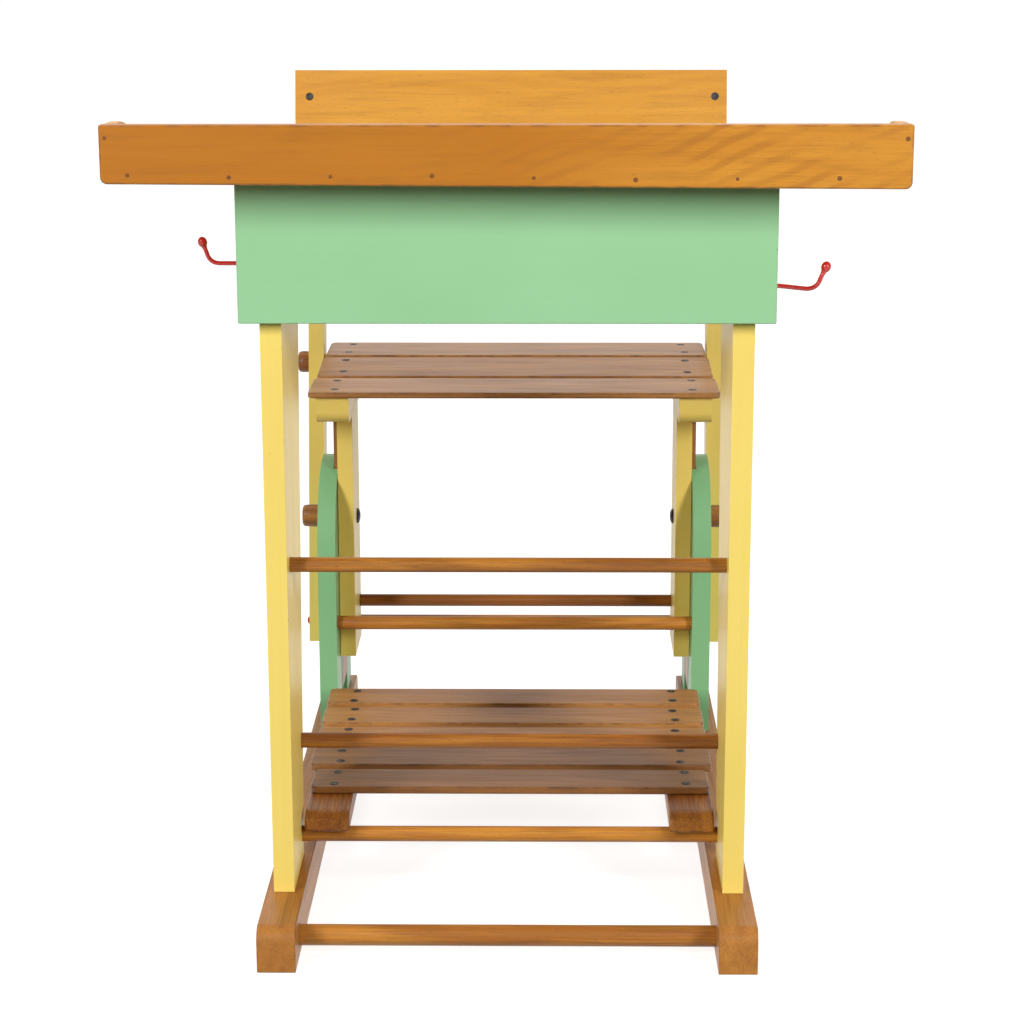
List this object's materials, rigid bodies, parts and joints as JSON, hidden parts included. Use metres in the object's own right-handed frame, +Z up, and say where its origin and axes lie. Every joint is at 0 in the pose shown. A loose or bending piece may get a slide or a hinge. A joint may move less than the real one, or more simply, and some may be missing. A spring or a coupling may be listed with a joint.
{
  "type": "child's school desk",
  "caption": "Painted wooden child's desk on floor skids, with a rimmed top, bag hooks, a slatted footrest and an attached slatted seat of adjustable height with a tilting backrest.",
  "frame": {"origin": "on the floor under the centre of the overall box", "axes": "+X to the right as seen from the front, which is the sitter's left; +Y from the front towards the seat; +Z up"},
  "size_m": [0.7, 0.9076, 0.773],
  "materials": {
    "yellow_paint": "satin yellow paint on wood",
    "green_paint": "satin mint green paint on wood",
    "beech": "honey-coloured varnished beech",
    "dark_beech": "brown varnished beech",
    "walnut_stain": "dark stained, turned or planed wood",
    "steel": "dull, darkened steel",
    "red_enamel": "glossy red enamel"
  },
  "bodies": {
    "frame": {"apron": "green_paint", "bag_hook_left": "red_enamel", "bag_hook_right": "red_enamel", "base_dowel": "dark_beech", "desk_leg_left": "yellow_paint", "desk_leg_right": "yellow_paint", "footrest_dowel_front": "dark_beech", "footrest_dowel_rear": "dark_beech", "footrest_rail_left": "dark_beech", "footrest_rail_right": "dark_beech", "footrest_slat_1": "beech", "footrest_slat_2": "beech", "footrest_slat_3": "beech", "footrest_slat_4": "beech", "footrest_slat_5": "beech", "knee_dowel": "dark_beech", "side_board_left": "green_paint", "side_board_right": "green_paint", "skid_left": "beech", "skid_right": "beech", "top_board": "beech", "top_cleat_left": "beech", "top_cleat_right": "beech", "top_front_rim": "beech", "top_side_rim_left": "beech", "top_side_rim_right": "beech", "upper_dowel_front": "dark_beech", "upper_dowel_rear": "dark_beech"},
    "seat": {"clamp_bolt_left": "steel", "clamp_bolt_right": "steel", "pivot_bolt_left": "steel", "pivot_bolt_right": "steel", "seat_post_left": "yellow_paint", "seat_post_right": "yellow_paint", "seat_rail_left": "yellow_paint", "seat_rail_right": "yellow_paint", "seat_slat_1": "beech", "seat_slat_2": "beech", "seat_slat_3": "beech", "seat_stretcher": "dark_beech", "slide_plate_left": "walnut_stain", "slide_plate_right": "walnut_stain"},
    "backrest": {"back_board": "beech", "back_dowel": "dark_beech", "back_post_left": "yellow_paint", "back_post_right": "yellow_paint", "back_screw_left_lower": "steel", "back_screw_left_upper": "steel", "back_screw_right_lower": "steel", "back_screw_right_upper": "steel", "dowel_screw_left": "red_enamel", "dowel_screw_right": "red_enamel", "pivot_spacer_left": "yellow_paint", "pivot_spacer_right": "yellow_paint"},
    "height_knob_left": {"height_knob_left": "walnut_stain"},
    "height_knob_right": {"height_knob_right": "walnut_stain"},
    "back_knob_left": {"back_knob_left": "walnut_stain"},
    "back_knob_right": {"back_knob_right": "walnut_stain"}
  },
  "joints": [
    {"name": "seat_height", "type": "slide", "parent": "frame", "child": "seat", "axis": [0, 0, 1], "range_m": [-0.025, 0.045]},
    {"name": "backrest_tilt", "type": "hinge", "parent": "seat", "child": "backrest", "pos_m": [0, 0.37116, 0.422], "axis": [1, 0, 0], "range_deg": [0, 10]},
    {"name": "height_knob_left_turn", "type": "hinge", "parent": "seat", "child": "height_knob_left", "pos_m": [-0.2326, 0.21116, 0.271], "axis": [-1, 0, 0], "continuous": true},
    {"name": "back_knob_left_turn", "type": "hinge", "parent": "seat", "child": "back_knob_left", "pos_m": [-0.2534, 0.37116, 0.422], "axis": [-1, 0, 0], "continuous": true},
    {"name": "height_knob_right_turn", "type": "hinge", "parent": "seat", "child": "height_knob_right", "pos_m": [0.2326, 0.21116, 0.271], "axis": [1, 0, 0], "continuous": true},
    {"name": "back_knob_right_turn", "type": "hinge", "parent": "seat", "child": "back_knob_right", "pos_m": [0.2534, 0.37116, 0.422], "axis": [1, 0, 0], "continuous": true}
  ]
}
